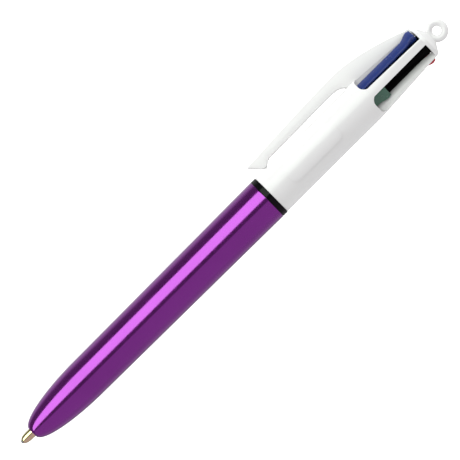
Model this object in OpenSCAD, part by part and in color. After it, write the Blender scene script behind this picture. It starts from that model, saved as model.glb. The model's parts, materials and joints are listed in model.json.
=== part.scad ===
// Multicolor click pen: a two-part barrel with four sliders around the upper end.
// It lies on its side along X, nose toward -X, with the green refill latched out.
// The pieces are drawn in the pen's own frame and lay() puts them down on Z = 0.
// In the pen's own frame Z runs from the nose opening to the loop and the clip is at +Y.

/* [Barrel] */
// Largest outer diameter, where the two halves of the barrel meet
barrel_d = 11.66; // [11.2:0.02:16]
// Length of the lower barrel, from the nose opening
lower_len = 82; // [68:1:110]
// Length of the curved nose
nose_len = 20; // [14:1:28]
// Radius that the nose's curve would reach at the very front
nose_aim_r = 1.35; // [1:0.05:1.6]
// Outer radius that the lower barrel loses from the joint to the nose curve
lower_taper = 0.45; // [0:0.05:0.8]
// Wall of the lower barrel
lower_wall = 1.08; // [0.9:0.02:1.3]
// Width of the trim ring
ring_w = 1.5; // [1:0.1:3]
// Length of the upper barrel
upper_len = 53.3; // [48:0.1:66]
// Step from the ring down to the upper barrel
upper_step = 0.13; // [0:0.01:0.4]
// Wall of the upper barrel
upper_wall = 0.95; // [0.8:0.05:1.2]
// Radius that the upper barrel loses toward its top end
top_taper = 1.2; // [0.6:0.05:1.6]

/* [Slots and sliders] */
// How far a slider travels
travel = 14.2; // [11:0.1:17]
// Slot length past the travel
slot_spare = 5.2; // [4.6:0.1:8]
// Angle that each slot takes of the barrel
slot_angle = 63; // [60:1:65]
// Radius of the corners at a slot's closed end
slot_corner = 1.8; // [1:0.1:2.5]
// How far the ribs between the slots reach in from the bore
rib_depth = 1.95; // [1.4:0.05:2]
// Length of a slider from its collar to its top
slider_len = 23.2; // [21:0.1:28]
// Width of a slider's head
head_w = 3.7; // [3.2:0.1:3.8]
// Width of a slider's bar
bar_w = 3.3; // [2.8:0.1:3.3]
// Thickness of a slider's bar
bar_t = 1.5; // [1.2:0.1:1.6]
// Height of a slider's head above its bar
head_h = 1; // [0.6:0.1:1.2]
// Length of a slider's head
head_len = 3.2; // [2.6:0.1:4.5]
// How far a latched head sinks into the barrel
head_sink = 1.7; // [1.2:0.1:1.75]

/* [Refills] */
// Outer diameter of a refill tube
tube_d = 2.6; // [2.2:0.05:2.65]
// Bore of a refill tube
tube_bore = 1.7; // [1.5:0.05:1.8]
// How far the writing point stands out of the nose
tip_out = 3.8; // [3:0.1:5]
// Length of a metal point outside its tube
point_len = 8.6; // [7:0.1:12]
// Diameter of a metal point
point_d = 2.45; // [1.9:0.05:2.5]
// Diameter of the ball
ball_d = 1; // [0.7:0.05:1.2]
// Length of the ink column
ink_len = 56; // [40:1:60]

/* [Springs] */
// Wire of a return spring
wire_d = 0.3; // [0.2:0.02:0.36]
// Outer diameter of a return spring
spring_d = 3.4; // [3.3:0.02:3.6]
// Turns of a return spring
spring_turns = 12; // [8:1:14]

/* [Clip] */
// Width of the clip
clip_w = 2.6; // [2:0.1:3]
// Gap between the clip and the barrel
clip_gap = 1.3; // [1:0.05:2]
// Thickness of the clip at its tip
clip_t = 1.95; // [1.6:0.05:2.6]
// How much the clip rises from its tip to its highest point
clip_rise = 1.3; // [0.8:0.05:1.8]
// Clear length under the clip
clip_reach = 28; // [22:0.5:30]

/* [End cap and loop] */
// Outer diameter of the loop
loop_d = 5.9; // [5:0.1:8]
// Hole of the loop
loop_hole = 2.5; // [2:0.1:3.4]
// Thickness of the loop
loop_t = 1.75; // [1.2:0.05:2.4]
// Height of the cap's dome
dome_h = 2.2; // [1.5:0.1:3.5]

/* [Joint and fits] */
// Length of the threaded neck that enters the lower barrel
neck_len = 7; // [5:0.5:12]
// Length of the guide inside the upper barrel
guide_len = 4.5; // [3:0.5:8]
// Clearance of a piece that turns or slides in another
slide_gap = 0.15; // [0.1:0.01:0.2]
// Clearance of a piece that is pressed or welded in place
seat_gap = 0.03; // [0.01:0.01:0.05]

/* [Hidden] */
$fn = 72;
COLORS = ["green", "blue", "red", "black"];
// Each slider's direction around the pen, and 1 if its refill is latched out
SLOT_AT = [225, 135, 315, 45];
LATCHED = [1, 0, 0, 0];
// What a slider and its ink look like
INK_LOOK = ["#2f6b4f", "#2f4aa8", "#b3202a", "#151517"];

// Radii, worked inward from the barrel
joint_r = barrel_d / 2;
upper_r = joint_r - upper_step;
top_r = upper_r - top_taper;
nose_r = joint_r - lower_taper;
bore_r = upper_r - upper_wall;
neck_bore_r = joint_r - lower_wall;
neck_r = neck_bore_r - slide_gap;
refill_r = bore_r - spring_d / 2 - 0.4;
bar_out_r = bore_r - 0.25;
bar_in_r = bar_out_r - bar_t;
rib_in_r = bore_r - rib_depth;
head_out_r = bar_out_r + head_h;
nose_hole_r = point_d / 2 + 0.22;

// Places along the pen
ring_z = lower_len;
upper_z = ring_z + ring_w;
top_z = upper_z + upper_len;
head_top = top_z - 0.6;
collar_z = head_top - slider_len;
slot_z = top_z - travel - slot_spare;
slot_r = upper_r * sin(slot_angle / 2);
neck_z = ring_z - neck_len;
guide_top = upper_z + guide_len;
loop_z = top_z + dome_h + loop_d / 2 - 0.65;
loop_end = loop_z + loop_d / 2;

// A slider plugs into its refill's tube and tilts there as it latches
spigot_r = tube_bore / 2 - 0.2;
spigot_len = 3;
pivot_z = collar_z - 1;
collar_h = 1.5;
press_angle = asin(head_sink / (head_top - head_len / 2 - pivot_z));
core_top_r = bar_in_r - 0.2;
core_low_r = core_top_r - sin(press_angle) * (head_top - pivot_z);

// A refill, drawn back, and the bend that brings its point to the nose opening
tip_z = travel - tip_out;
tube_z = tip_z + point_len;
tube_top = collar_z - 0.2;
plug_len = 3.5;
cone_len = 2.5;
lip_r = ball_d / 2 + 0.06;
ball_z = ball_d / 2;
flange_h = 0.6;
bend_z = neck_z + 0.5 + travel;
bend_angle = atan((refill_r + 0.1) / (bend_z - travel - 0.5));

// The clip's hinge line stands in for the place where the one-piece clip flexes
hinge_z = slot_z - 0.9;
clip_peak_z = hinge_z - 1.3;
clip_tip_z = hinge_z - clip_reach - 4.5;
clip_low_y = upper_r + clip_gap;
clip_peak_y = clip_low_y + clip_t + clip_rise;
hinge_r = (clip_peak_y - upper_r - 0.75) / 2;
hinge_y = clip_peak_y - hinge_r;
fin_end_z = top_z - 0.8;

// How the pen lies: the ring's edge and the clip's outer corner are on the floor
dip = asin(joint_r / norm([clip_peak_y, clip_w / 2])) - atan(clip_w / 2 / clip_peak_y);
clip_side = clip_peak_y * cos(dip) + clip_w / 2 * sin(dip);
mid_x = (loop_end - tip_out) / 2;
mid_y = (clip_side - joint_r) / 2;

module lay() {
    translate([-mid_x, -mid_y, joint_r]) rotate([-dip, 0, 0]) rotate([0, 90, 0]) children();
}

// A piece of one color, in its slot's direction, with X outward; out is 1 when it is latched out
module in_slot(i) {
    lay() rotate([0, 0, SLOT_AT[i]]) translate([0, 0, -LATCHED[i] * travel]) children();
}

// Turns what belongs to a refill's point inward about the bend
module on_bend(i) {
    translate([refill_r, 0, bend_z]) rotate([0, LATCHED[i] * bend_angle, 0]) children();
}

// Quarter ellipse from (r0, z0) to (r1, z1), steep at its start
function nose_arc(r0, z0, r1, z1, n) =
    [for (k = [0:n]) [r0 + (r1 - r0) * sin(90 * k / n), z1 - (z1 - z0) * cos(90 * k / n)]];

// Height of the clip's outer edge at a place along the pen
function clip_edge(z) = z < clip_peak_z
    ? clip_peak_y - clip_rise * pow((clip_peak_z - z) / (clip_peak_z - clip_tip_z), 1.5)
    : clip_peak_y - (clip_peak_y - top_r - 0.8) * pow((z - clip_peak_z) / (fin_end_z - clip_peak_z), 1.66);

module ring(outer, inner, height) {
    rotate_extrude() translate([inner, 0]) square([outer - inner, height]);
}

// Extrudes an outline of points [z, y] across the clip's width
module across(points, width) {
    translate([-width / 2, 0, 0]) rotate([90, 0, 90]) mirror([1, -1]) linear_extrude(width) polygon(points);
}

module lower_barrel() {
    land = 1;
    lip = 0.25;
    outer_nose = nose_arc(nose_aim_r, 0, nose_r, nose_len, 16);
    inner_nose = nose_arc(nose_hole_r, land, nose_r - lower_wall, nose_len + 2, 10);
    color("#7d1b8c") lay() rotate_extrude() polygon(concat(
        [for (a = [180:30:270]) [nose_hole_r + lip + lip * cos(a), lip + lip * sin(a)]],
        [for (k = [1:16]) outer_nose[k]],
        [[joint_r, lower_len], [neck_bore_r, lower_len], [neck_bore_r, neck_z - 1], [neck_bore_r - 0.15, neck_z - 1.3]],
        [for (k = [10:-1:0]) inner_nose[k]]
    ));
}

module trim_ring() {
    color("#141414") lay() translate([0, 0, ring_z]) ring(joint_r, neck_r + 0.05, ring_w);
}

// One slot through the barrel's wall, with round corners at its lower end
module slot_cut() {
    reach = upper_r + 2;
    intersection() {
        translate([0, 0, slot_z - 1]) linear_extrude(top_z - slot_z + 2)
            polygon([[0, 0], [reach, reach * tan(slot_angle / 2)], [reach, -reach * tan(slot_angle / 2)]]);
        union() {
            hull() for (side = [-1, 1]) translate([0, side * (slot_r - slot_corner), slot_z + slot_corner])
                rotate([0, 90, 0]) cylinder(r = slot_corner, h = reach);
            translate([0, -reach, slot_z + slot_corner]) cube([reach, 2 * reach, top_z - slot_z]);
        }
    }
}

// The solid fin that carries the clip, down to the rib between two slots
module clip_fin() {
    n = 14;
    sunk = 0.5;
    difference() {
        across(concat(
            [[hinge_z - 1, upper_r - sunk], [hinge_z - 0.7, upper_r + 0.35], [hinge_z, hinge_y - hinge_r]],
            [for (k = [0:n]) let (z = hinge_z + (fin_end_z - hinge_z) * k / n) [z, clip_edge(z)]],
            [[top_z, top_r], [top_z, top_r - sunk], [slot_z, upper_r - sunk]]
        ), clip_w);
        translate([0, hinge_y, hinge_z]) rotate([0, 90, 0])
            cylinder(r = hinge_r + 0.05, h = clip_w + 1, center = true);
        translate([-clip_w, hinge_y - hinge_r + 0.02, hinge_z - 2]) cube([2 * clip_w, 9, 2]);
    }
}

// The ribs reach inward to part the sliders, and widen near the top to clear the core
module upper_barrel() {
    color("#f4f4f2") lay() union() {
        difference() {
            translate([0, 0, upper_z]) rotate_extrude()
                polygon([[bore_r, 0], [upper_r, 0], [upper_r, slot_z - upper_z], [top_r, upper_len],
                    [core_top_r + slide_gap, upper_len], [core_top_r + slide_gap, head_top - upper_z],
                    [rib_in_r, head_top - 3 - upper_z], [rib_in_r, slot_z - upper_z], [bore_r, slot_z - upper_z]]);
            for (a = SLOT_AT) rotate([0, 0, a]) slot_cut();
        }
        clip_fin();
    }
}

module clip_arm() {
    n = 12;
    toe_y = upper_r + 0.12;
    toe_z = clip_tip_z + 3;
    color("#f4f4f2") lay() union() {
        across(concat(
            [for (k = [0:n]) let (z = clip_tip_z + (hinge_z - clip_tip_z) * k / n) [z, clip_edge(z)]],
            [[hinge_z, hinge_y - hinge_r + 0.05], [hinge_z - 1.6, clip_low_y - 0.1], [hinge_z - 4, clip_low_y + 0.2]],
            [[toe_z + 2, clip_low_y - 0.1]],
            [for (a = [-30:-30:-120]) [toe_z + 0.7 + 0.7 * cos(a), toe_y + 0.7 + 0.7 * sin(a)]]
        ), clip_w);
        translate([0, hinge_y, hinge_z]) rotate([0, 90, 0]) cylinder(r = hinge_r, h = clip_w, center = true);
    }
}

module end_cap() {
    socket = 1.2;
    neck_w = 3.4;
    color("#f4f4f2") lay() difference() {
        union() {
            translate([0, 0, top_z]) rotate_extrude()
                polygon(concat([[0, 0]], [for (a = [0:10:60]) [2 + (top_r - 2) * cos(a), 0.4 + (dome_h - 0.4) * sin(a)]],
                    [[0, dome_h]]));
            translate([-loop_t / 2, -neck_w / 2, top_z + 0.5]) cube([loop_t, neck_w, loop_z - top_z - loop_hole / 2 - 0.7]);
            translate([0, 0, loop_z]) rotate([0, 90, 0]) rotate_extrude() union() {
                translate([0, -loop_t / 2]) square([(loop_d - loop_t) / 2, loop_t]);
                translate([(loop_d - loop_t) / 2, 0]) intersection() {
                    circle(d = loop_t);
                    translate([0, -loop_t]) square(2 * loop_t);
                }
            }
        }
        translate([0, 0, loop_z]) rotate([0, 90, 0]) cylinder(d = loop_hole, h = 2 * loop_t, center = true);
        translate([0, 0, top_z - 1]) cylinder(r = core_top_r + seat_gap, h = socket + 1);
    }
}

module refill_guide() {
    color("#d9d9d6") lay() difference() {
        union() {
            translate([0, 0, neck_z]) cylinder(r = neck_r, h = neck_len + ring_w);
            translate([0, 0, upper_z]) cylinder(r = bore_r - seat_gap, h = guide_len);
        }
        for (a = SLOT_AT) rotate([0, 0, a]) translate([refill_r, 0, neck_z - 1])
            cylinder(r = tube_d / 2 + slide_gap, h = neck_len + ring_w + guide_len + 2);
    }
}

// The center post narrows downward, so a slider's head can sink as it comes down
// Its four fins reach out to the ribs and keep the sliders apart
module center_core() {
    stem_len = 5;
    plug = 1;
    fin_t = 0.6;
    low_z = head_top - travel;
    color("#1b1b1d") lay() union() {
        translate([0, 0, low_z - stem_len]) cylinder(r = core_low_r, h = stem_len);
        translate([0, 0, low_z]) cylinder(r1 = core_low_r, r2 = core_top_r, h = travel);
        translate([0, 0, head_top]) cylinder(r = core_top_r, h = top_z + plug - head_top);
        for (a = [0, 90]) rotate([0, 0, a]) translate([slide_gap - rib_in_r, -fin_t / 2, low_z - stem_len])
            cube([2 * (rib_in_r - slide_gap), fin_t, travel + stem_len]);
    }
}

// A symmetric outline from one side's points [x, half width]
function section(points) = concat(points, [for (k = [len(points) - 1:-1:0]) [points[k].x, -points[k].y]]);

// A slider, drawn up: head and bar in the slot, collar for the spring, spigot for the tube
module slider(i) {
    chamfer = 0.3;
    foot = 0.5;
    waist = 1.25;
    color(INK_LOOK[i]) in_slot(i) translate([refill_r, 0, pivot_z])
    rotate([0, -LATCHED[i] * press_angle, 0]) translate([-refill_r, 0, -pivot_z]) union() {
        translate([refill_r, 0, collar_z - spigot_len]) cylinder(r = spigot_r, h = spigot_len + 0.5);
        translate([refill_r, 0, collar_z]) cylinder(d = spring_d, h = collar_h);
        translate([0, 0, collar_z + collar_h - 0.2]) linear_extrude(slider_len - head_len - collar_h + 0.25)
            polygon(section([[bar_in_r, foot], [bar_out_r - 0.5, bar_w / 2 - 0.25],
                [bar_out_r - chamfer / 2, bar_w / 2], [bar_out_r, bar_w / 2 - chamfer / 2]]));
        intersection() {
            translate([0, 0, head_top - head_len]) linear_extrude(head_len)
                polygon(section([[bar_in_r, foot], [bar_out_r - 0.45, waist],
                    [head_out_r - chamfer, head_w / 2], [head_out_r, head_w / 2 - chamfer]]));
            translate([0, head_w, head_top - head_len]) rotate([90, 0, 0]) linear_extrude(2 * head_w)
                polygon([[bar_in_r, 0], [bar_out_r, 0], [head_out_r, head_len - 1.3], [head_out_r, head_len - 0.3],
                    [head_out_r - 0.3, head_len], [bar_in_r, head_len]]);
        }
    }
}

// A refill tube, and one that is bent below the guide: two lengths that meet on a mitre
module tube_length(low, high) {
    translate([0, 0, low]) ring(tube_d / 2, tube_bore / 2, high - low);
}

module tube(i) {
    block = 4 * tube_d;
    color("#eef0f0") in_slot(i) if (LATCHED[i] == 0)
        translate([refill_r, 0, 0]) tube_length(tube_z, tube_top);
    else union() {
        translate([refill_r, 0, bend_z]) difference() {
            tube_length(-tube_d, tube_top - bend_z);
            rotate([0, bend_angle / 2, 0]) translate([-block / 2, -block / 2, -block]) cube(block);
        }
        on_bend(i) difference() {
            tube_length(tube_z - bend_z, tube_d);
            rotate([0, -bend_angle / 2, 0]) translate([-block / 2, -block / 2, 0]) cube(block);
        }
    }
}

module ink(i) {
    color(INK_LOOK[i]) in_slot(i) on_bend(i) translate([0, 0, tube_z + plug_len + 0.1 - bend_z])
        cylinder(r = tube_bore / 2 - 0.04, h = ink_len);
}

// The metal point: a lip around the ball, a rounded cone, a plain length, a flange and a plug
module point(i) {
    color("#d8c878") in_slot(i) on_bend(i) translate([0, 0, tip_z - bend_z]) difference() {
        rotate_extrude() polygon([
            [0, ball_z - 0.1], [lip_r, ball_z - 0.1], [lip_r + 0.1, ball_z + 0.05],
            for (f = [0.3, 0.5, 0.75, 1]) [lip_r + 0.1 + (point_d / 2 - lip_r - 0.1) * sin(90 * f),
                ball_z + 0.05 + (cone_len - ball_z) * (1 - cos(90 * f))],
            [point_d / 2, point_len - flange_h], [tube_d / 2, point_len - flange_h],
            [tube_d / 2, point_len], [tube_bore / 2 - seat_gap, point_len],
            [tube_bore / 2 - seat_gap, point_len + plug_len], [0, point_len + plug_len]]);
        translate([0, 0, ball_z]) sphere(d = ball_d + 0.02);
        cylinder(d = 0.5, h = 2 * point_len + plug_len);
    }
}

module ball(i) {
    color("#c9c9c4") in_slot(i) on_bend(i) translate([0, 0, tip_z + ball_z - bend_z]) sphere(d = ball_d);
}

// A return spring: a round wire swept along a helix, between the guide and the slider's collar
module spring(i) {
    sides = 6;
    per_turn = 12;
    coil_r = (spring_d - wire_d) / 2;
    low = guide_top + wire_d / 2 + 0.02;
    high = collar_z - LATCHED[i] * travel - wire_d / 2 - 0.16;
    steps = spring_turns * per_turn;
    points = [for (k = [0:steps], s = [0:sides - 1])
        let (a = 360 * k / per_turn, r = coil_r + wire_d / 2 * cos(360 * s / sides))
        [r * cos(a), r * sin(a), low + (high - low) * k / steps + wire_d / 2 * sin(360 * s / sides)]];
    walls = [for (k = [0:steps - 1], s = [0:sides - 1])
        let (t = (s + 1) % sides, b = k * sides, c = b + sides) [b + s, c + s, c + t, b + t]];
    ends = [[for (s = [0:sides - 1]) s], [for (s = [sides - 1:-1:0]) steps * sides + s]];
    color("#b9bcc0") lay() rotate([0, 0, SLOT_AT[i]]) translate([refill_r, 0, 0])
        polyhedron(points, concat(walls, ends), convexity = 10);
}

lower_barrel();
trim_ring();
upper_barrel();
clip_arm();
end_cap();
refill_guide();
center_core();
for (i = [0:3]) {
    slider(i);
    spring(i);
    tube(i);
    ink(i);
    point(i);
    ball(i);
}
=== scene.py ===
# Multicolor click pen, lying on its side with the green refill latched out.
import json
import math
import bpy
from mathutils import Matrix, Vector


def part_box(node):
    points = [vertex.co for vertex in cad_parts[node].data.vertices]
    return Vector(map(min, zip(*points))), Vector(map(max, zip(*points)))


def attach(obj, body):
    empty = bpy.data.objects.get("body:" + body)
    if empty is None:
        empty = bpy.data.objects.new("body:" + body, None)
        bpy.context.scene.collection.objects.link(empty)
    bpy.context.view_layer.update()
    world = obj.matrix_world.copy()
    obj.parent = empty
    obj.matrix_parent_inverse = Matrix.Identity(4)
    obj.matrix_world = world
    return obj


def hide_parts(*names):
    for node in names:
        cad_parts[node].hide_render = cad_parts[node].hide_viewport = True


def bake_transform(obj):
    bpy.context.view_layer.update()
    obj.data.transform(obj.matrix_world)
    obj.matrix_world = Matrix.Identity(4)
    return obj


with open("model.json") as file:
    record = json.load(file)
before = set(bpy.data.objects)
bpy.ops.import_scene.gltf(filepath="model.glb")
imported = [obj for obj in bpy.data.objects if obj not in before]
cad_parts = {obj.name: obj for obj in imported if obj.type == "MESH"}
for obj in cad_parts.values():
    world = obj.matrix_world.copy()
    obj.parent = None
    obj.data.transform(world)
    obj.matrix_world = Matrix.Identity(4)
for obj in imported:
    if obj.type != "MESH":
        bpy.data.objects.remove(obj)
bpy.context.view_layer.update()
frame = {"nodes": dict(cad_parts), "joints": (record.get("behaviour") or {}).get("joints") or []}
bpy.ops.object.select_all(action="DESELECT")

# ---------------------------------------------------------------------------
# Lower barrel: a thin-walled bullet-nosed sleeve of metallised purple plastic.
# It is moulded in one piece and its bore screws onto the guide's neck.
MM = 0.001
barrel_low, barrel_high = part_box("lower_barrel")
nose = Vector((barrel_low.x, (barrel_low.y + barrel_high.y) / 2, (barrel_low.z + barrel_high.z) / 2))
joints = {joint["name"]: joint for joint in frame["joints"]}
clip_line = joints["clip_flex"]["axis"]
dip = math.atan2(-clip_line[1], -clip_line[2])
LAID = Matrix.Translation(nose) @ Matrix.Rotation(-dip, 4, "X") @ Matrix.Scale(MM, 4)


def along(node):
    """Where a node starts and ends, in millimetres from the nose opening."""
    low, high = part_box(node)
    return (low.x - nose.x) / MM, (high.x - nose.x) / MM


def arc(x, r, size, start, stop, steps=5):
    """Points of a round edge about (x, r), from one angle to another in degrees."""
    angles = [math.radians(start + (stop - start) * k / steps) for k in range(steps + 1)]
    return [(x + size * math.cos(a), r + size * math.sin(a)) for a in angles]


def turned(name, outline, around=96):
    """Turns an outline of (place along the pen, radius) as on a lathe. A radius of 0 ends in a pole."""
    x, r = outline[0]
    bpy.ops.mesh.primitive_circle_add(
        vertices=around, radius=r, location=(x, 0, 0), rotation=(0, math.pi / 2, 0))
    piece = bpy.context.object
    piece.name = name
    bpy.ops.object.mode_set(mode="EDIT")
    for next_x, next_r in outline[1:]:
        bpy.ops.mesh.extrude_edges_move(TRANSFORM_OT_translate={"value": (next_x - x, 0, 0)})
        if next_r:
            bpy.ops.transform.resize(value=(1, next_r / r, next_r / r))
        else:
            bpy.ops.mesh.merge(type="CENTER")
        x, r = next_x, next_r
    bpy.ops.mesh.select_all(action="SELECT")
    bpy.ops.mesh.remove_doubles(threshold=0.0005)
    bpy.ops.mesh.normals_make_consistent(inside=False)
    bpy.ops.object.mode_set(mode="OBJECT")
    return piece


def pick(piece):
    """Makes a piece the only one selected."""
    bpy.ops.object.select_all(action="DESELECT")
    piece.select_set(True)
    bpy.context.view_layer.objects.active = piece


def lay_down(piece, smooth=35):
    """Puts a piece, modelled in millimetres along X, where the pen lies, and smooths it."""
    pick(piece)
    piece.matrix_world = LAID @ piece.matrix_world
    bpy.ops.object.transform_apply(location=True, rotation=True, scale=True)
    bpy.ops.object.shade_smooth_by_angle(angle=math.radians(smooth))
    return piece


def new_material(name):
    """An empty Principled material, with the node and link lists that fill it."""
    material = bpy.data.materials.new(name)
    material.use_nodes = True
    tree = material.node_tree
    return material, tree.nodes, tree.links, tree.nodes["Principled BSDF"]


def noise(nodes, links, scale, detail=3):
    """Noise over the piece's own coordinates, which are in metres."""
    place = nodes.new("ShaderNodeTexCoord")
    texture = nodes.new("ShaderNodeTexNoise")
    texture.inputs["Scale"].default_value = scale
    texture.inputs["Detail"].default_value = detail
    links.new(place.outputs["Object"], texture.inputs["Vector"])
    return texture.outputs["Fac"]


def spread(nodes, links, value, low, high):
    """Maps a 0 to 1 value to a range."""
    span = nodes.new("ShaderNodeMapRange")
    span.inputs["From Min"].default_value = 0.3
    span.inputs["From Max"].default_value = 0.7
    span.inputs["To Min"].default_value = low
    span.inputs["To Max"].default_value = high
    links.new(value, span.inputs["Value"])
    return span.outputs["Result"]


def between(nodes, links, value, first, second):
    """Mixes two colours by a 0 to 1 value."""
    mix = nodes.new("ShaderNodeMix")
    mix.data_type = "RGBA"
    mix.inputs["A"].default_value = (*first, 1)
    mix.inputs["B"].default_value = (*second, 1)
    links.new(value, mix.inputs["Factor"])
    return mix.outputs["Result"]


def ripple(nodes, links, value, shader, strength, distance):
    """A bump from a value, in metres."""
    bump = nodes.new("ShaderNodeBump")
    bump.inputs["Strength"].default_value = strength
    bump.inputs["Distance"].default_value = distance
    links.new(value, bump.inputs["Height"])
    links.new(bump.outputs["Normal"], shader.inputs["Normal"])


def metallised(name, deep, bright):
    """Coloured lacquer over vacuum metal on plastic: slight clouding, a faint moulding ripple, clear coat."""
    material, nodes, links, shader = new_material(name)
    cloud = noise(nodes, links, 90)
    links.new(between(nodes, links, cloud, deep, bright), shader.inputs["Base Color"])
    links.new(spread(nodes, links, noise(nodes, links, 600), 0.13, 0.2), shader.inputs["Roughness"])
    ripple(nodes, links, noise(nodes, links, 260, 1), shader, 0.05, 0.0002)
    shader.inputs["Metallic"].default_value = 0.92
    shader.inputs["Coat Weight"].default_value = 0.8
    shader.inputs["Coat Roughness"].default_value = 0.06
    return material


def wear(piece, material, body, *nodes):
    """Gives a piece its material and body, and the nodes that it stands for."""
    piece.data.materials.clear()
    piece.data.materials.append(material)
    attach(piece, body)
    if nodes:
        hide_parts(*nodes)


purple = metallised("purple_lacquer", (0.24, 0.018, 0.31), (0.29, 0.03, 0.37))
nose_len, nose_aim_r, nose_r = 20, 1.35, 5.38
joint_r, joint_bore, neck_bore = 5.83, 4.75, 4.6
hole_r, hole_land, hole_lip, wall = 1.445, 1.0, 0.25, 1.08
lower_end = along("lower_barrel")[1]
neck_start = along("refill_guide")[0]


def nose_curve(x0, r0, x1, r1, steps):
    """A quarter ellipse that leaves (x0, r0) steeply and reaches (x1, r1) level."""
    quarter = [math.pi / 2 * k / steps for k in range(steps + 1)]
    return [(x1 - (x1 - x0) * math.cos(a), r0 + (r1 - r0) * math.sin(a)) for a in quarter]


lower = turned("lower_sleeve", arc(hole_lip, hole_r + hole_lip, hole_lip, 270, 180) +
               nose_curve(0, nose_aim_r, nose_len, nose_r, 32)[2:] +
               [(40, nose_r + 0.15), (60, nose_r + 0.29), (lower_end - 0.25, joint_r)] +
               arc(lower_end - 0.2, joint_r - 0.2, 0.2, 90, 0, 3) +
               [(lower_end, joint_bore), (neck_start - 1, joint_bore), (neck_start - 1.3, neck_bore)] +
               nose_curve(hole_land, hole_r, nose_len + 2, nose_r - wall, 16)[::-1] +
               [(hole_lip, hole_r)], 128)
lay_down(lower)
wear(lower, purple, "lower", "lower_barrel")

# ---------------------------------------------------------------------------
# Trim ring: a narrow band of black gloss plastic between the two halves.
# It is moulded, with rounded edges and a shallow groove, and slips over the neck.


def moulded(name, tint, shade, gloss=(0.2, 0.28), peel=0.04, coat=0.35, shine=0.5):
    """Moulded plastic: two close tones, gloss that varies a little, and a fine orange-peel ripple."""
    material, nodes, links, shader = new_material(name)
    links.new(between(nodes, links, noise(nodes, links, 140), tint, shade), shader.inputs["Base Color"])
    links.new(spread(nodes, links, noise(nodes, links, 900), *gloss), shader.inputs["Roughness"])
    ripple(nodes, links, noise(nodes, links, 1500, 2), shader, peel, 0.00004)
    shader.inputs["Specular IOR Level"].default_value = shine
    shader.inputs["Coat Weight"].default_value = coat
    shader.inputs["Coat Roughness"].default_value = 0.08
    return material


black_gloss = moulded(
    "black_ring_plastic", (0.002, 0.002, 0.003), (0.004, 0.004, 0.004), (0.1, 0.16), 0.02, 0, 0.12)
ring_start, ring_end = along("trim_ring")
ring_bore = 4.65
ring = turned("trim_band", [(ring_start, ring_bore), (ring_start, joint_r - 0.2)] +
              arc(ring_start + 0.2, joint_r - 0.2, 0.2, 180, 90) +
              [(ring_start + 0.45, joint_r), (ring_start + 0.55, joint_r - 0.05),
               (ring_end - 0.55, joint_r - 0.05), (ring_end - 0.45, joint_r)] +
              arc(ring_end - 0.2, joint_r - 0.2, 0.2, 90, 0) +
              [(ring_end, ring_bore), (ring_start, ring_bore)], 128)
lay_down(ring)
wear(ring, black_gloss, "ring", "trim_ring")

# ---------------------------------------------------------------------------
# Upper barrel: a white gloss sleeve whose tapered end has four slots with rounded corners.
# It is moulded in one piece; the ribs between the slots are thick and reach inward.
WHITE = ((0.81, 0.81, 0.805), (0.83, 0.83, 0.826), (0.2, 0.26), 0.03, 0.15, 0.35)
white_gloss = moulded("white_gloss_plastic", *WHITE)
upper_start, upper_end = along("upper_barrel")
upper_r, top_r, bore_r, rib_r, rib_start, core_clear = 5.7, 4.5, 4.75, 2.8, 117.4, 3.05
slot_start, slot_half, slot_corner = 117.4, math.radians(31.5), 1.8
slot_round = upper_r * math.sin(slot_half)
# painted shade: this copy of the white is darkened deep in the slots, further down
slot_shaded_white = moulded("white_plastic_painted_slot_shade", *WHITE)
SLOT_TURN = {"green": 225, "blue": 135, "red": 315, "black": 45}


def paint_slot_shade(material, deep, full, darkest):
    """Paints shade into a material's colour: darker toward the pen's axis, standing for the shade deep
    between the slot walls.
    """
    nodes, links = material.node_tree.nodes, material.node_tree.links
    base = nodes["Principled BSDF"].inputs["Base Color"]
    plain = base.links[0].from_socket
    place = nodes.new("ShaderNodeTexCoord")
    off_axis = nodes.new("ShaderNodeVectorMath")
    off_axis.inputs[1].default_value = nose
    across = nodes.new("ShaderNodeVectorMath")
    across.inputs[1].default_value = (0, 1, 1)
    off_axis.operation, across.operation = "SUBTRACT", "MULTIPLY"
    radius = nodes.new("ShaderNodeVectorMath")
    radius.operation = "LENGTH"
    depth = nodes.new("ShaderNodeMapRange")
    depth.inputs["From Min"].default_value, depth.inputs["From Max"].default_value = deep * MM, full * MM
    depth.inputs["To Min"].default_value = darkest
    tone = nodes.new("ShaderNodeVectorMath")
    tone.operation = "SCALE"
    links.new(place.outputs["Object"], off_axis.inputs[0])
    links.new(off_axis.outputs["Vector"], across.inputs[0])
    links.new(across.outputs["Vector"], radius.inputs[0])
    links.new(radius.outputs["Value"], depth.inputs["Value"])
    links.new(plain, tone.inputs[0])
    links.new(depth.outputs["Result"], tone.inputs["Scale"])
    links.new(tone.outputs["Vector"], base)


def combine(piece, tool, how):
    """Cuts, joins or intersects a piece with a tool piece, which is used up."""
    pick(piece)
    step = piece.modifiers.new("shape", "BOOLEAN")
    step.object = tool
    step.operation = how
    step.solver = "EXACT"
    bpy.ops.object.modifier_apply(modifier=step.name)
    bpy.data.objects.remove(tool)


def soften(piece, width, segments=3, angle=40):
    """Rounds a piece's edges."""
    pick(piece)
    step = piece.modifiers.new("edges", "BEVEL")
    step.width = width
    step.segments = segments
    step.limit_method = "ANGLE"
    step.angle_limit = math.radians(angle)
    step.use_clamp_overlap = True
    bpy.ops.object.modifier_apply(modifier=step.name)


def turn_to(piece, degrees):
    """Turns a piece made with its outer side toward +Z to its place around the pen."""
    piece.matrix_world = Matrix.Rotation(math.radians(degrees - 180), 4, "X") @ piece.matrix_world
    pick(piece)
    bpy.ops.object.transform_apply(location=True, rotation=True, scale=True)


def box(low, high):
    """A plain box between two corners."""
    size = [h - l for l, h in zip(low, high)]
    bpy.ops.mesh.primitive_cube_add(size=1, location=[(l + h) / 2 for l, h in zip(low, high)], scale=size)
    piece = bpy.context.object
    bpy.ops.object.transform_apply(location=True, rotation=True, scale=True)
    return piece


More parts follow.
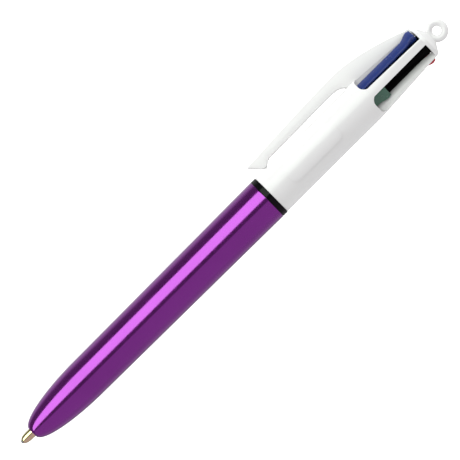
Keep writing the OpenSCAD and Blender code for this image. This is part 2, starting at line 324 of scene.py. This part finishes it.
def pick_edges(piece, wanted):
    """Selects the edges whose two ends both pass a test, in edit mode."""
    pick(piece)
    bpy.ops.object.mode_set(mode="EDIT")
    bpy.ops.mesh.select_mode(type="EDGE")
    bpy.ops.mesh.select_all(action="DESELECT")
    bpy.ops.object.mode_set(mode="OBJECT")
    for edge in piece.data.edges:
        edge.select = wanted(*(piece.data.vertices[v].co for v in edge.vertices))
    bpy.ops.object.mode_set(mode="EDIT")


def slot_tool(turn):
    """A wedge with round corners at its lower end, as wide as one slot of the barrel."""
    reach = 9
    half = reach * math.tan(slot_half)
    wedge = box((slot_start - 1, -half, 0), (upper_end + 1, half, reach))
    pick_edges(wedge, lambda a, b: a.z < 0.1 and b.z < 0.1)
    bpy.ops.transform.resize(value=(1, 0.0005, 1), center_override=(0, 0, 0))
    bpy.ops.object.mode_set(mode="OBJECT")
    end = box((slot_start, -slot_round, 0), (upper_end + 2, slot_round, reach))
    pick_edges(end, lambda a, b: a.x < slot_start + 0.1 and b.x < slot_start + 0.1 and abs(a.z - b.z) > 1)
    bpy.ops.mesh.bevel(offset=slot_corner, segments=16)
    bpy.ops.object.mode_set(mode="OBJECT")
    combine(wedge, end, "INTERSECT")
    turn_to(wedge, turn)
    return wedge


upper = turned("upper_sleeve", [(upper_start, bore_r), (upper_start, upper_r - 0.15)] +
               arc(upper_start + 0.15, upper_r - 0.15, 0.15, 180, 90, 3) +
               [(95, upper_r), (107, upper_r), (slot_start - 1.2, upper_r), (slot_start, upper_r - 0.02),
                (slot_start + 1.2, upper_r - 0.1), (upper_end, top_r), (upper_end, core_clear),
                (upper_end - 0.6, core_clear), (upper_end - 3.6, rib_r), (rib_start, rib_r),
                (rib_start, bore_r), (upper_start, bore_r)], 144)
for turn in SLOT_TURN.values():
    combine(upper, slot_tool(turn), "DIFFERENCE")
soften(upper, 0.3, 4, 50)
lay_down(upper)
# painted shade: the slotted barrel's white gets darker toward the axis, down to 0.18 of its colour, as shade
# between the ribs
shade_deep, shade_full, shade_darkest = rib_r - 0.2, 4.2, 0.18
paint_slot_shade(slot_shaded_white, shade_deep, shade_full, shade_darkest)
wear(upper, slot_shaded_white, "upper", "upper_barrel")

# ---------------------------------------------------------------------------
# Blank pad: a slightly raised panel of the same white plastic on the barrel.
# It is moulded with the barrel, and carries no mark.
pad_start, pad_end, pad_width, pad_height = 89.5, 106.5, 4.8, 0.3
pad_turn = 186
pad = turned("blank_pad", [(pad_start - 2, upper_r - 0.3), (pad_start - 2, upper_r + pad_height),
                           (pad_end + 2, upper_r + pad_height), (pad_end + 2, upper_r - 0.3),
                           (pad_start - 2, upper_r - 0.3)], 144)
panel = box((pad_start, -pad_width / 2, 2), (pad_end, pad_width / 2, 10))
pick_edges(panel, lambda a, b: abs(a.z - b.z) > 1)
bpy.ops.mesh.bevel(offset=1.6, segments=8)
bpy.ops.object.mode_set(mode="OBJECT")
turn_to(panel, pad_turn)
combine(pad, panel, "INTERSECT")
soften(pad, 0.22, 4, 50)
lay_down(pad)
wear(pad, white_gloss, "upper")

# ---------------------------------------------------------------------------
# Clip: a springy white blade that grows out of the barrel as a fin.
# It is one moulding with the barrel, so here it is one fixed piece, highest just before the line where the
# real one flexes.
clip_start = along("clip_arm")[0]
hinge = (Vector(joints["clip_flex"]["pos_m"]) - nose).x / MM
clip_half, clip_peak, clip_peak_at = 1.3, 10.25, hinge - 1.3
clip_rise, fin_end = 1.3, upper_end - 0.8


def clip_edge(x):
    """Height of the clip's outer edge at a place along the pen."""
    if x < clip_peak_at:
        return clip_peak - clip_rise * ((clip_peak_at - x) / (clip_peak_at - clip_start)) ** 1.5
    return clip_peak - (clip_peak - top_r - 0.8) * ((x - clip_peak_at) / (fin_end - clip_peak_at)) ** 1.66


def lofted(name, sections):
    """Draws a bar through sections of (place along the pen, low, high, half width), in the XY plane."""
    x, low, high, half = sections[0]
    bpy.ops.mesh.primitive_plane_add(size=1, location=(x, (low + high) / 2, 0), rotation=(0, math.pi / 2, 0))
    piece = bpy.context.object
    piece.name = name
    bpy.ops.object.mode_set(mode="EDIT")
    bpy.ops.transform.resize(value=(1, high - low, 2 * half))
    for next_x, next_low, next_high, next_half in sections[1:]:
        shift = (next_x - x, (next_low + next_high - low - high) / 2, 0)
        bpy.ops.mesh.extrude_region_move(TRANSFORM_OT_translate={"value": shift})
        bpy.ops.transform.resize(value=(1, (next_high - next_low) / (high - low), next_half / half))
        x, low, high, half = next_x, next_low, next_high, next_half
    bpy.ops.mesh.select_all(action="SELECT")
    bpy.ops.mesh.normals_make_consistent(inside=False)
    bpy.ops.object.mode_set(mode="OBJECT")
    return piece


# the underside: a toe that rests near the barrel, a straight gap, and the fin's root
underside = [
    (0.0, 8.75), (0.7, 8.05), (1.4, 7.25), (2.1, 6.45), (2.7, 6.0), (3.3, 5.87), (3.9, 6.0), (4.4, 6.35),
    (4.9, 6.7), (5.6, 6.92), (9, 6.97), (14, 7.02), (19, 7.08), (24, 7.14), (28, 7.15), (29.3, 7.0),
    (30.2, 6.7), (30.9, 6.2), (31.5, 5.6), (32.4, 5.2), (35, 5.1)]
fin_start, fin_steps = 119.8, 14
fin = [fin_start + (upper_end - 0.1 - fin_start) * k / fin_steps for k in range(fin_steps + 1)]
sections = [(clip_start + x, low, clip_edge(clip_start + x), clip_half) for x, low in underside]
for x in fin:
    share = (x - fin_start) / (upper_end - fin_start)
    outer = max(clip_edge(min(x, fin_end)), top_r + 0.1)
    sections.append((x, 5.1 - 1.2 * share, outer, clip_half - 0.25 * share))
clip = lofted("clip_blade", sections)
soften(clip, 0.35, 4, 40)
lay_down(clip, 50)
clip.data.materials.append(white_gloss)
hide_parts("clip_arm")
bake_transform(clip)

# ---------------------------------------------------------------------------
# End cap and loop: a short white cone that closes the slots, with a ring for a cord.
# It is one moulding with soft, blended edges, and it holds the center core.


def close_ends(piece):
    """Fills the open ends of a piece and turns its faces outward."""
    pick(piece)
    bpy.ops.object.mode_set(mode="EDIT")
    bpy.ops.mesh.select_all(action="DESELECT")
    bpy.ops.mesh.select_non_manifold()
    bpy.ops.mesh.edge_face_add()
    bpy.ops.mesh.select_all(action="SELECT")
    bpy.ops.mesh.normals_make_consistent(inside=False)
    bpy.ops.object.mode_set(mode="OBJECT")


cap_start, cap_end = along("end_cap")
cone_height, skirt, loop_r, loop_hole = 2.2, 0.35, 2.95, 1.12
loop_at = cap_end - loop_r
socket_r = 2.93
cap = turned("cap_and_loop", [(cap_start - skirt, socket_r), (cap_start - skirt, top_r + 0.04),
                              (cap_start + 0.35, top_r - 0.06)] +
             arc(cap_start + 0.35, top_r - 0.46, 0.4, 90, 40, 4) +
             [(cap_start + 1.4, 3.1), (cap_start + cone_height, 1.75), (cap_start + cone_height, 0)], 96)
cord_r = (loop_r - loop_hole) / 2
bpy.ops.mesh.primitive_torus_add(
    major_radius=loop_hole + cord_r, minor_radius=cord_r, major_segments=96, minor_segments=32,
    location=(loop_at, 0, 0))
loop = bpy.context.object
close_ends(cap)
combine(cap, loop, "UNION")
for kind, amount in (("REMESH", 0.07), ("SMOOTH", 4)):
    step = cap.modifiers.new("blend", kind)
    if kind == "REMESH":
        step.mode, step.voxel_size = "VOXEL", amount
    else:
        step.iterations = amount
    bpy.ops.object.modifier_apply(modifier=step.name)
lay_down(cap, 80)
wear(cap, white_gloss, "upper", "end_cap")

# ---------------------------------------------------------------------------
# Sliders: four colored thumb pieces, one in each slot, moulded in gloss plastic.
# Each has a bar, a raised head, a collar for its spring and a spigot in its refill.
LOOKS = {
    "green": ((0.045, 0.135, 0.085), (0.05, 0.145, 0.093)),
    "blue": ((0.009, 0.027, 0.165), (0.011, 0.03, 0.18)),
    "red": ((0.44, 0.012, 0.018), (0.48, 0.015, 0.022)),
    "black": ((0.008, 0.008, 0.009), (0.016, 0.016, 0.018)),
}
travel = joints["green_slide"]["range_m"][1] / MM
slider_low, slider_top = along("slider_blue")
collar_at = slider_low + 3
pivot_at = collar_at - 1
refill_out, bar_in, bar_out, head_out = 2.65, 3.0, 4.5, 5.42
foot, keel, crown = 0.5, 0.38, 0.5
press = math.radians(joints["blue_press"]["range_deg"][1])
head_sections = [
    (collar_at + 1.3, bar_in, bar_out - 0.5, 0.9), (collar_at + 1.9, bar_in, bar_out - 0.1, 1.5),
    (collar_at + 3.2, bar_in, bar_out, 1.65), (slider_top - 6, bar_in, bar_out, 1.65),
    (slider_top - 3.6, bar_in, bar_out, 1.66), (slider_top - 2.9, bar_in, bar_out + 0.2, 1.72),
    (slider_top - 2.2, bar_in, bar_out + 0.55, 1.78), (slider_top - 1.5, bar_in, head_out - 0.1, 1.83),
    (slider_top - 0.9, bar_in, head_out, 1.84), (slider_top, bar_in, head_out - 0.2, 1.78)]


def place_slider(piece, name):
    """Turns a slider made toward +Z to its slot, and latches the green one."""
    if name == "green":
        pivot = Matrix.Translation((pivot_at, 0, refill_out))
        pressed = pivot @ Matrix.Rotation(press, 4, "Y") @ pivot.inverted()
        latched = Matrix.Translation((-travel, 0, 0)) @ pressed
        piece.matrix_world = latched @ piece.matrix_world
    turn_to(piece, SLOT_TURN[name])


for name, tones in LOOKS.items():
    bar = lofted(f"slider_{name}_thumb", head_sections)
    bar.matrix_world = Matrix.Rotation(math.pi / 2, 4, "X") @ bar.matrix_world
    bpy.ops.object.transform_apply(location=True, rotation=True, scale=True)
    pick_edges(bar, lambda a, b: a.z < bar_in + 0.1 and b.z < bar_in + 0.1)
    bpy.ops.transform.resize(value=(1, foot, 1), center_override=(0, 0, 0))
    bpy.ops.object.mode_set(mode="OBJECT")
    pick_edges(bar, lambda a, b: a.z < bar_in + 0.1 and b.z < bar_in + 0.1 and a.y * b.y > 0)
    bpy.ops.mesh.bevel(offset=keel, segments=2)
    bpy.ops.object.mode_set(mode="OBJECT")
    pick_edges(bar, lambda a, b: a.z > bar_in + 0.95 and b.z > bar_in + 0.95 and a.y * b.y > 0)
    bpy.ops.mesh.bevel(offset=crown, segments=4)
    bpy.ops.object.mode_set(mode="OBJECT")
    soften(bar, 0.2, 3, 32)
    collar = turned("collar", [(collar_at - 3, 0.4), (collar_at - 2.8, 0.62), (collar_at - 0.15, 0.65),
                               (collar_at, 0.8), (collar_at, 1.55)] +
                    arc(collar_at + 0.15, 1.55, 0.15, 180, 90, 3) +
                    arc(collar_at + 1.35, 1.55, 0.15, 90, 0, 3) +
                    [(collar_at + 1.5, 0.5), (collar_at + 1.5, 0)], 48)
    collar.matrix_world = Matrix.Translation((0, 0, refill_out)) @ collar.matrix_world
    pick(collar)
    bpy.ops.object.transform_apply(location=True, rotation=True, scale=True)
    close_ends(collar)
    combine(bar, collar, "UNION")
    place_slider(bar, name)
    lay_down(bar, 45)
    slider_look = moulded(f"{name}_slider_plastic", *tones, (0.2, 0.28), 0.03, 0.5)
    wear(bar, slider_look, f"{name}_slider", f"slider_{name}")

# ---------------------------------------------------------------------------
# Refills: a clear plastic tube of ink with a brass point pressed into its end.
# A tube is straight when drawn back, and bends below the guide as its point reaches the nose.


def clear_tube(name):
    """Milky extruded plastic."""
    material, nodes, links, shader = new_material(name)
    links.new(between(nodes, links, noise(nodes, links, 200), (0.85, 0.88, 0.88), (0.92, 0.94, 0.94)),
              shader.inputs["Base Color"])
    links.new(spread(nodes, links, noise(nodes, links, 500), 0.18, 0.3), shader.inputs["Roughness"])
    shader.inputs["Transmission Weight"].default_value = 0.85
    shader.inputs["IOR"].default_value = 1.45
    return material


def turned_brass(name):
    """Machined brass, with fine rings left by the tool."""
    material, nodes, links, shader = new_material(name)
    links.new(between(nodes, links, noise(nodes, links, 700), (0.76, 0.66, 0.36), (0.86, 0.77, 0.46)),
              shader.inputs["Base Color"])
    place = nodes.new("ShaderNodeTexCoord")
    rings = nodes.new("ShaderNodeTexWave")
    rings.bands_direction = "X"
    rings.inputs["Scale"].default_value = 1600
    links.new(place.outputs["Object"], rings.inputs["Vector"])
    ripple(nodes, links, rings.outputs["Fac"], shader, 0.12, 0.00002)
    links.new(spread(nodes, links, noise(nodes, links, 900), 0.08, 0.14), shader.inputs["Roughness"])
    shader.inputs["Metallic"].default_value = 1
    return material


def steel(name, colour, rough):
    """Bright steel with faint clouding."""
    material, nodes, links, shader = new_material(name)
    darker = tuple(0.8 * c for c in colour)
    links.new(between(nodes, links, noise(nodes, links, 800), darker, colour), shader.inputs["Base Color"])
    uneven = spread(nodes, links, noise(nodes, links, 1500), rough * 0.7, rough * 1.3)
    links.new(uneven, shader.inputs["Roughness"])
    shader.inputs["Metallic"].default_value = 1
    return material


tube_look = clear_tube("clear_refill_plastic")
brass = turned_brass("turned_brass")
ball_look = steel("carbide_ball", (0.3, 0.3, 0.31), 0.15)
INKS = {"green": (0.01, 0.12, 0.05), "blue": (0.005, 0.015, 0.25), "red": (0.4, 0.004, 0.008),
        "black": (0.004, 0.004, 0.005)}
tip_back = along("ball_blue")[0]
point_out, point_r, tube_r, tube_hole = 8.6, 1.225, 1.3, 0.85
tube_start, tube_end = along("tube_blue")
bend = math.radians(joints["blue_bend"]["range_deg"][1])
bend_at = (Vector(joints["blue_bend"]["pos_m"]) - nose).x / MM


def place_refill(piece, name, whole=True):
    """Turns a refill piece, made along X, to its slot. The green one is bent and out."""
    piece.matrix_world = Matrix.Translation((0, 0, refill_out)) @ piece.matrix_world
    if name == "green":
        pick(piece)
        bpy.ops.object.transform_apply(location=True, rotation=True, scale=True)
        pivot = Matrix.Translation((bend_at, 0, refill_out))
        bent = pivot @ Matrix.Rotation(-bend, 4, "Y") @ pivot.inverted()
        for point in piece.data.vertices:
            if whole or point.co.x < bend_at:
                point.co = bent @ point.co
        piece.matrix_world = Matrix.Translation((-travel, 0, 0))
    turn_to(piece, SLOT_TURN[name])


def coat_node(node, look):
    """Gives a CAD solid that stays in view its material."""
    solid = frame["nodes"][node].data
    solid.materials.clear()
    solid.materials.append(look)


for name, colour in INKS.items():
    spacing = 3
    steps = int((tube_end - tube_start) / spacing)
    rings = [tube_start + (tube_end - tube_start) * k / steps for k in range(steps + 1)]
    outside, inside = [(x, tube_r) for x in rings], [(x, tube_hole) for x in rings[::-1]]
    tube = turned(f"refill_{name}_tube", outside + inside + [(tube_start, tube_r)], 40)
    place_refill(tube, name, whole=False)
    lay_down(tube, 40)
    tube.data.materials.append(tube_look)
    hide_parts(f"tube_{name}")
    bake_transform(tube)

    x = tip_back
    point = turned(f"refill_{name}_point", [(x + at, r) for at, r in (
        (0.6, 0.1), (0.5, 0.42), (0.4, 0.5), (0.4, 0.56), (0.44, 0.62), (0.55, 0.68), (0.65, 0.8),
        (0.77, 0.9), (1.14, 1.05), (1.4, 1.11), (1.79, 1.17), (2.55, point_r), (6.5, point_r),
        (6.6, point_r - 0.06), (6.8, point_r - 0.06), (6.9, point_r), (point_out - 0.6, point_r),
        (point_out - 0.55, 1.28),
        (point_out - 0.5, 1.3), (point_out - 0.05, 1.3), (point_out, 1.25), (point_out, 0.82),
        (point_out + 3.3, 0.82), (point_out + 3.5, 0.7), (point_out + 3.5, 0))], 64)
    place_refill(point, name)
    lay_down(point, 30)
    wear(point, brass, f"{name}_tip", f"point_{name}")
    ink_look = moulded(f"{name}_ink", colour, tuple(1.3 * c for c in colour), (0.3, 0.4), 0.02, 0.2)
    coat_node(f"ball_{name}", ball_look)
    coat_node(f"ink_{name}", ink_look)

# ---------------------------------------------------------------------------
# Return springs: bright steel wire coiled around each tube, between guide and collar.
# Each is wound from one wire over its spring's length in the model; the real one closes up as its slider
# comes down.
spring_look = steel("spring_wire", (0.66, 0.67, 0.69), 0.2)
wire_r, coil_r, coils = 0.15, 1.55, 12
for name in LOOKS:
    start, end = along(f"spring_{name}")
    bpy.ops.mesh.primitive_circle_add(vertices=10, radius=wire_r, location=(start + wire_r, 0, coil_r),
                                      rotation=(math.pi / 2, 0, 0))
    coil = bpy.context.object
    coil.name = f"return_spring_{name}"
    bpy.ops.object.transform_apply(location=True, rotation=True, scale=True)
    step = coil.modifiers.new("wind", "SCREW")
    step.axis = "X"
    step.steps = step.render_steps = 28
    step.iterations = coils
    step.screw_offset = (end - start - 2 * wire_r) / coils
    bpy.ops.object.modifier_apply(modifier=step.name)
    close_ends(coil)
    coil.matrix_world = Matrix.Translation((0, 0, refill_out)) @ coil.matrix_world
    turn_to(coil, SLOT_TURN[name])
    lay_down(coil, 60)
    coil.data.materials.append(spring_look)
    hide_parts(f"spring_{name}")
    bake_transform(coil)

# ---------------------------------------------------------------------------
# Guide and core: the four-hole guide has a threaded neck for the lower barrel.
# The black core, a cone with four fins, fills the middle behind the slots. Both are mouldings.
natural = moulded("natural_guide_plastic", (0.62, 0.62, 0.6), (0.7, 0.7, 0.68), (0.35, 0.45), 0.06, 0)
core_look = moulded(
    "black_core_plastic", (0.001, 0.001, 0.001), (0.002, 0.002, 0.002), (0.4, 0.55), 0.06, 0, 0.03)
coat_node("refill_guide", natural)
coat_node("center_core", core_look)
neck_r, pitch = 4.6, 1.5
bpy.ops.mesh.primitive_circle_add(vertices=3, radius=0.14, location=(neck_start + 0.8, 0, neck_r),
                                  rotation=(math.pi / 2, 0, 0))
thread = bpy.context.object
thread.name = "neck_thread"
bpy.ops.object.transform_apply(location=True, rotation=True, scale=True)
step = thread.modifiers.new("wind", "SCREW")
step.axis = "X"
step.steps = step.render_steps = 96
step.iterations = 3
step.screw_offset = pitch
bpy.ops.object.modifier_apply(modifier=step.name)
close_ends(thread)
lay_down(thread, 30)
wear(thread, natural, "upper")

# ---------------------------------------------------------------------------
# Studio: a plain white floor, one soft light on the clip side, and three panels seen only in the gloss.
# The camera looks down on the pen from the clip's side, with the point at the lower left.
bpy.ops.mesh.primitive_plane_add(size=6, location=(0, 0, -0.0002))
floor = bpy.context.object
floor.name = "floor"
floor_look, nodes, links, shader = new_material("white_floor")
shader.inputs["Base Color"].default_value = (0.95, 0.95, 0.95, 1)
shader.inputs["Roughness"].default_value = 0.9
shader.inputs["Emission Color"].default_value = (1, 1, 1, 1)
shader.inputs["Emission Strength"].default_value = 0.85
floor.data.materials.append(floor_look)
floor.visible_glossy = False
floor.visible_shadow = False

world = bpy.data.worlds.new("studio")
bpy.context.scene.world = world
world.use_nodes = True
nodes, links = world.node_tree.nodes, world.node_tree.links
place = nodes.new("ShaderNodeTexCoord")
split = nodes.new("ShaderNodeSeparateXYZ")
height = nodes.new("ShaderNodeMapRange")
ramp = nodes.new("ShaderNodeValToRGB")
ray = nodes.new("ShaderNodeLightPath")
choose = nodes.new("ShaderNodeMix")
choose.data_type = "RGBA"
height.inputs["From Min"].default_value = -1
links.new(place.outputs["Generated"], split.inputs["Vector"])
links.new(split.outputs["Z"], height.inputs["Value"])
links.new(height.outputs["Result"], ramp.inputs["Fac"])
links.new(ray.outputs["Is Glossy Ray"], choose.inputs["Factor"])
links.new(ramp.outputs["Color"], choose.inputs["B"])
links.new(choose.outputs["Result"], nodes["Background"].inputs["Color"])
choose.inputs["A"].default_value = (0.72, 0.72, 0.72, 1)
first, last = ramp.color_ramp.elements
first.position, first.color = 0.13, (0.6, 0.6, 0.6, 1)
last.position, last.color = 0.5, (0.1, 0.1, 0.1, 1)
middle = ramp.color_ramp.elements.new(0.25)
middle.color = (0.15, 0.15, 0.15, 1)

seen_from = math.radians(186.5)
toward = Matrix.Rotation(-dip, 3, "X") @ Vector((0, math.sin(seen_from), -math.cos(seen_from)))
pen_line = Vector((1, 0, 0))
clip_side = toward.cross(pen_line).normalized()
target = nose + Vector((70.1 * MM, 0, 0)) + clip_side * 1.1 * MM


def softbox(name, angle, width_angle, radiance, seen, tint, length, distance=0.5):
    """A long area light, placed by its angle from the camera's line toward the clip side."""
    a = math.radians(angle)
    direction = toward * math.cos(a) + clip_side * math.sin(a)
    width = 2 * distance * math.tan(math.radians(width_angle / 2))
    bpy.ops.object.light_add(type="AREA")
    lamp = bpy.context.object
    lamp.name = name
    lamp.data.shape = "RECTANGLE"
    lamp.data.size, lamp.data.size_y = length, width
    lamp.data.energy = radiance * math.pi * length * width
    lamp.data.color = tint
    lamp.matrix_world = Matrix((
        (*pen_line, 0), (*direction.cross(pen_line), 0), (*direction, 0), (0, 0, 0, 1))).transposed()
    lamp.location = target + direction * distance
    lamp.visible_camera = False
    lamp.visible_diffuse = "diffuse" in seen
    lamp.visible_glossy = "glossy" in seen


softbox("key_reflector", 36, 48, 2.7, "glossy", (0.97, 1.12, 0.96), 6)
softbox("fill_reflector", -50, 84, 0.42, "glossy", (1, 0.72, 1), 4, 0.3)
softbox("edge_reflector", -115, 46, 0.36, "glossy", (1, 0.8, 1), 4, 0.3)
softbox("key_light", 45, 40, 1.0, "diffuse", (1, 1, 1), 1.2, 0.6)

roll = math.radians(44.85)
right = pen_line * math.cos(roll) - clip_side * math.sin(roll)
up = pen_line * math.sin(roll) + clip_side * math.cos(roll)
bpy.ops.object.camera_add()
camera = bpy.context.object
camera.data.lens = 450
image_side, scale = 460, 0.248
view_width = image_side * scale * MM
distance = view_width / 2 / math.tan(math.atan(camera.data.sensor_width / 2 / camera.data.lens))
camera.matrix_world = Matrix(((*right, 0), (*up, 0), (*toward, 0), (0, 0, 0, 1))).transposed()
camera.location = target + toward * distance
bpy.context.scene.camera = camera
bpy.context.scene.view_settings.view_transform = "Standard"
